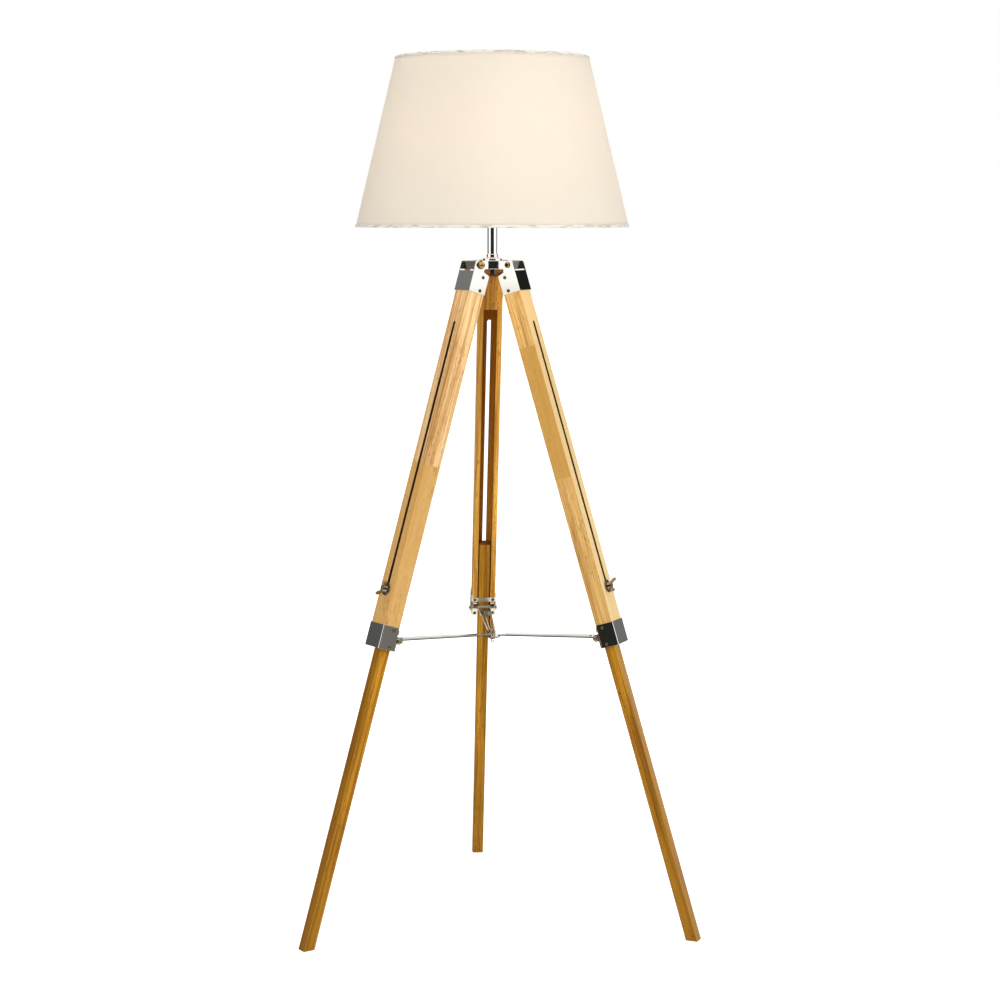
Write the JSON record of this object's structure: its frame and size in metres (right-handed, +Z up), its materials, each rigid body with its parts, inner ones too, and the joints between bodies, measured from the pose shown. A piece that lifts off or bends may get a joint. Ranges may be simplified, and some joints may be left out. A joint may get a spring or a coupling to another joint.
{
  "type": "tripod floor lamp",
  "caption": "Floor lamp on a folding wooden tripod with sliding lower legs, wing-nut clamps, metal caps and collars, a hinged spreader and a tapered cloth shade.",
  "frame": {"origin": "on the floor, below the middle of the open lamp's box; the lamp's axis is parallel to Z at X = 0, Y = -0.0741 m", "axes": "+Z up along the lamp's axis, +Y towards the back leg, +X to the right seen from the front"},
  "size_m": [0.6552, 0.5976, 1.4281],
  "materials": {
    "light_beech": "clear satin lacquer over fine straight grain",
    "golden_beech": "clear satin lacquer, darker than the upper legs",
    "nickel_plate": "bright plated folded sheet with faint rub marks",
    "zinc_steel": "bright zinc",
    "chromed_metal": "polished",
    "shade_cloth": "ivory plain-weave cloth stretched round a cone, lit from inside",
    "hem_tape": "rolled cloth tape",
    "white_wire": "white enamelled wire",
    "white_plastic": "moulded, satin",
    "dark_plastic": "moulded, matt",
    "bulb_cap_metal": "spun, satin",
    "bulb_glass": "frosted, lit"
  },
  "bodies": {
    "head": {"hub": "chromed_metal", "pivot_bolts": "zinc_steel", "pivot_nuts": "chromed_metal", "cord_bush": "dark_plastic", "hub_flange": "chromed_metal", "stem": "chromed_metal", "stem_ring": "chromed_metal", "holder_cup": "chromed_metal", "holder_skirt": "white_plastic", "shade_clamp": "white_plastic", "bulb_base": "bulb_cap_metal", "bulb_glass": "bulb_glass", "shade_cover": "shade_cloth", "shade_hem_bottom": "hem_tape", "shade_hem_top": "hem_tape", "shade_top_hoop": "white_wire", "shade_frame": "white_wire"},
    "leg_back": {"upper_leg_back": "light_beech", "cap_back": "nickel_plate", "collar_back": "nickel_plate", "strap_back": "nickel_plate", "hinge_leaves_back": "nickel_plate", "leg_screws_back": "zinc_steel", "spreader_pin_back": "zinc_steel"},
    "leg_left": {"upper_leg_left": "light_beech", "cap_left": "nickel_plate", "collar_left": "nickel_plate", "strap_left": "nickel_plate", "hinge_leaves_left": "nickel_plate", "leg_screws_left": "zinc_steel", "spreader_pin_left": "zinc_steel"},
    "leg_right": {"upper_leg_right": "light_beech", "cap_right": "nickel_plate", "collar_right": "nickel_plate", "strap_right": "nickel_plate", "hinge_leaves_right": "nickel_plate", "leg_screws_right": "zinc_steel", "spreader_pin_right": "zinc_steel"},
    "lower_back": {"lower_leg_back": "golden_beech", "clamp_stud_back": "zinc_steel", "washer_back": "zinc_steel"},
    "lower_left": {"lower_leg_left": "golden_beech", "clamp_stud_left": "zinc_steel", "washer_left": "zinc_steel"},
    "lower_right": {"lower_leg_right": "golden_beech", "clamp_stud_right": "zinc_steel", "washer_right": "zinc_steel"},
    "wing_back": {"wing_nut_back": "zinc_steel"},
    "wing_left": {"wing_nut_left": "zinc_steel"},
    "wing_right": {"wing_nut_right": "zinc_steel"},
    "spreader_back": {"arm_back": "nickel_plate", "centre_bolt": "zinc_steel", "centre_clip": "zinc_steel"},
    "spreader_left": {"arm_left": "nickel_plate"},
    "spreader_right": {"arm_right": "nickel_plate"}
  },
  "joints": [
    {"name": "fold_back", "type": "hinge", "parent": "head", "child": "leg_back", "pos_m": [0, -0.03664, 1.0925], "axis": [-1, 0, 0], "range_deg": [0, 9.8]},
    {"name": "fold_left", "type": "hinge", "parent": "head", "child": "leg_left", "pos_m": [-0.03248, -0.09289, 1.0925], "axis": [0.5, -0.866, 0], "range_deg": [0, 9.8]},
    {"name": "fold_right", "type": "hinge", "parent": "head", "child": "leg_right", "pos_m": [0.03248, -0.09289, 1.0925], "axis": [0.5, 0.866, 0], "range_deg": [0, 9.8]},
    {"name": "leg_slide_back", "type": "slide", "parent": "leg_back", "child": "lower_back", "axis": [0, -0.2957, 0.9553], "range_m": [0, 0.43]},
    {"name": "leg_slide_left", "type": "slide", "parent": "leg_left", "child": "lower_left", "axis": [0.2561, 0.1479, 0.9553], "range_m": [0, 0.43]},
    {"name": "leg_slide_right", "type": "slide", "parent": "leg_right", "child": "lower_right", "axis": [-0.2561, 0.1479, 0.9553], "range_m": [0, 0.43]},
    {"name": "wing_turn_back", "type": "hinge", "parent": "lower_back", "child": "wing_back", "pos_m": [0, 0.13309, 0.57295], "axis": [0, 0.9553, 0.2957], "continuous": true},
    {"name": "wing_turn_left", "type": "hinge", "parent": "lower_left", "child": "wing_left", "pos_m": [-0.17946, -0.17775, 0.57295], "axis": [-0.8273, -0.4776, 0.2957], "continuous": true},
    {"name": "wing_turn_right", "type": "hinge", "parent": "lower_right", "child": "wing_right", "pos_m": [0.17946, -0.17775, 0.57295], "axis": [0.8273, -0.4776, 0.2957], "continuous": true},
    {"name": "spreader_hinge_back", "type": "hinge", "parent": "leg_back", "child": "spreader_back", "pos_m": [0, 0.12203, 0.48861], "axis": [1, 0, 0], "range_deg": [0, 96.1]},
    {"name": "spreader_hinge_left", "type": "hinge", "parent": "leg_left", "child": "spreader_left", "pos_m": [-0.16989, -0.17222, 0.48861], "axis": [-0.5, 0.866, 0], "range_deg": [0, 96.1]},
    {"name": "spreader_hinge_right", "type": "hinge", "parent": "leg_right", "child": "spreader_right", "pos_m": [0.16989, -0.17222, 0.48861], "axis": [-0.5, -0.866, 0], "range_deg": [0, 96.1]}
  ],
  "couplings": [
    {"joint": "fold_left", "follows": "fold_back", "ratio": 1},
    {"joint": "fold_right", "follows": "fold_back", "ratio": 1},
    {"joint": "spreader_hinge_back", "follows": "fold_back", "ratio": 9.8},
    {"joint": "spreader_hinge_left", "follows": "fold_back", "ratio": 9.8},
    {"joint": "spreader_hinge_right", "follows": "fold_back", "ratio": 9.8}
  ]
}
